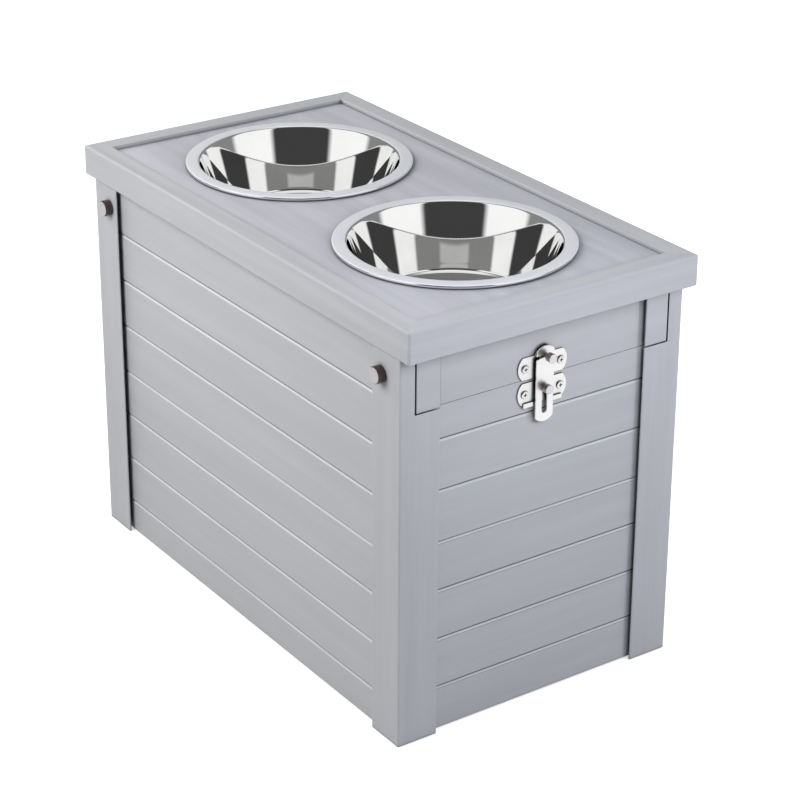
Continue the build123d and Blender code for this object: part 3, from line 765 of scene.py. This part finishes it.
def side_box(middle, before, after):
    """The angles and levels where a tall soft box fades in from one wall and out to the next."""
    start = middle - SIDE_BOX_HALF
    stop = middle + SIDE_BOX_HALF
    return [
        (start - SIDE_BOX_FADE, before),
        (start + SIDE_BOX_FADE, SIDE_BOX_LEVEL),
        (stop - SIDE_BOX_FADE, SIDE_BOX_LEVEL),
        (stop + SIDE_BOX_FADE, after),
    ]


def surroundings(nodes, around):
    """The walls and the two side boxes, by the angle from the camera."""
    levels = side_box(-SIDE_BOX, FAR_WALL, NEAR_WALL) + side_box(SIDE_BOX, NEAR_WALL, FAR_WALL)
    panels = nodes.add("ShaderNodeValToRGB", {"Fac": around})
    ramp = panels.color_ramp
    while len(ramp.elements) < len(levels):
        ramp.elements.new(CAMERA_SIDE)
    for element, (side, level) in zip(ramp.elements, levels):
        element.position = CAMERA_SIDE + side / TURN
        element.color = (level, level, level, 1.0)
    return panels.outputs["Color"]


def rise(angle):
    """The height of a direction at an angle above the horizon."""
    return math.sin(math.radians(angle))


def make_world():
    """A plain white studio: soft boxes around the object, and an unlit ceiling."""
    world = bpy.data.worlds.new("studio")
    bpy.context.scene.world = world
    nodes = Nodes(world)
    direction = nodes.add("ShaderNodeTexCoord").outputs["Generated"]
    turn = (0.0, 0.0, math.pi / 2 - AZIMUTH)
    turned = nodes.add("ShaderNodeMapping", {"Vector": direction, "Rotation": turn}).outputs[0]
    around = nodes.add("ShaderNodeTexGradient", {"Vector": turned}, gradient_type="RADIAL").outputs["Fac"]
    height = nodes.add("ShaderNodeSeparateXYZ", {"Vector": direction}).outputs["Z"]
    studio = surroundings(nodes, around)
    behind = nodes.math("ABSOLUTE", nodes.math("SUBTRACT", around, CAMERA_SIDE), 0.0)
    edge = 0.5 - PANEL_HALF_ANGLE / TURN
    behind = nodes.spread(behind, edge - PANEL_SIDE_FADE, edge + PANEL_SIDE_FADE)
    low, high = PANEL_HEIGHT
    above = nodes.spread(height, rise(low - PANEL_FADE), rise(low + PANEL_FADE))
    below = nodes.spread(height, rise(high - PANEL_FADE), rise(high + PANEL_FADE), 1.0, 0.0)
    behind = nodes.math("MULTIPLY", nodes.math("MULTIPLY", behind, above), below)
    studio = nodes.mix(behind, studio, PANEL)
    studio = nodes.mix(nodes.spread(height, *(rise(angle) for angle in CEILING)), studio, OVERHEAD)
    studio = nodes.mix(nodes.spread(height, *(rise(angle) for angle in TOP_BOX)), studio, TOP_LEVEL)
    rays = nodes.add("ShaderNodeLightPath")
    shown = nodes.mix(rays.outputs["Is Glossy Ray"], AMBIENT, studio)
    shown = nodes.mix(rays.outputs["Is Camera Ray"], shown, WHITE)
    background = nodes.add("ShaderNodeBackground", {"Color": shown, "Strength": 1.0})
    nodes.add("ShaderNodeOutputWorld", {"Surface": background.outputs[0]})


def make_light(name, place, size, power, tint):
    """A square soft box that points at the object."""
    lamp = bpy.data.lights.new(name, "AREA")
    lamp.color = tint
    lamp.shape = "SQUARE"
    lamp.size = size
    lamp.energy = power
    light = bpy.data.objects.new(name, lamp)
    light.location = place
    light.rotation_euler = (Vector(LAMP_AIM) - Vector(place)).to_track_quat("-Z", "Y").to_euler()
    light.visible_glossy = False
    bpy.context.scene.collection.objects.link(light)


def make_camera():
    """The camera at the viewing angle, with a slight tilt and an upward-looking lens shift."""
    back = Vector(
        (
            math.sin(AZIMUTH) * math.cos(ELEVATION),
            -math.cos(AZIMUTH) * math.cos(ELEVATION),
            math.sin(ELEVATION),
        )
    )
    level = Vector((math.cos(AZIMUTH), math.sin(AZIMUTH), 0.0))
    up = back.cross(level)
    right = level * math.cos(TILT) + up * math.sin(TILT)
    top = up * math.cos(TILT) - level * math.sin(TILT)
    camera = bpy.data.objects.new("camera", bpy.data.cameras.new("camera"))
    camera.data.lens = LENS
    camera.data.sensor_width = SENSOR
    camera.data.shift_y = SHIFT_Y
    turn = Matrix((right, top, back)).transposed().to_4x4()
    camera.matrix_world = Matrix.Translation(AIM + back * DISTANCE) @ turn
    bpy.context.scene.collection.objects.link(camera)
    bpy.context.scene.camera = camera


finish_boards()
finish_metal()
make_stage()
make_world()
for lamp_row in LAMPS:
    make_light(*lamp_row)
make_camera()
bpy.context.scene.view_settings.view_transform = "Standard"
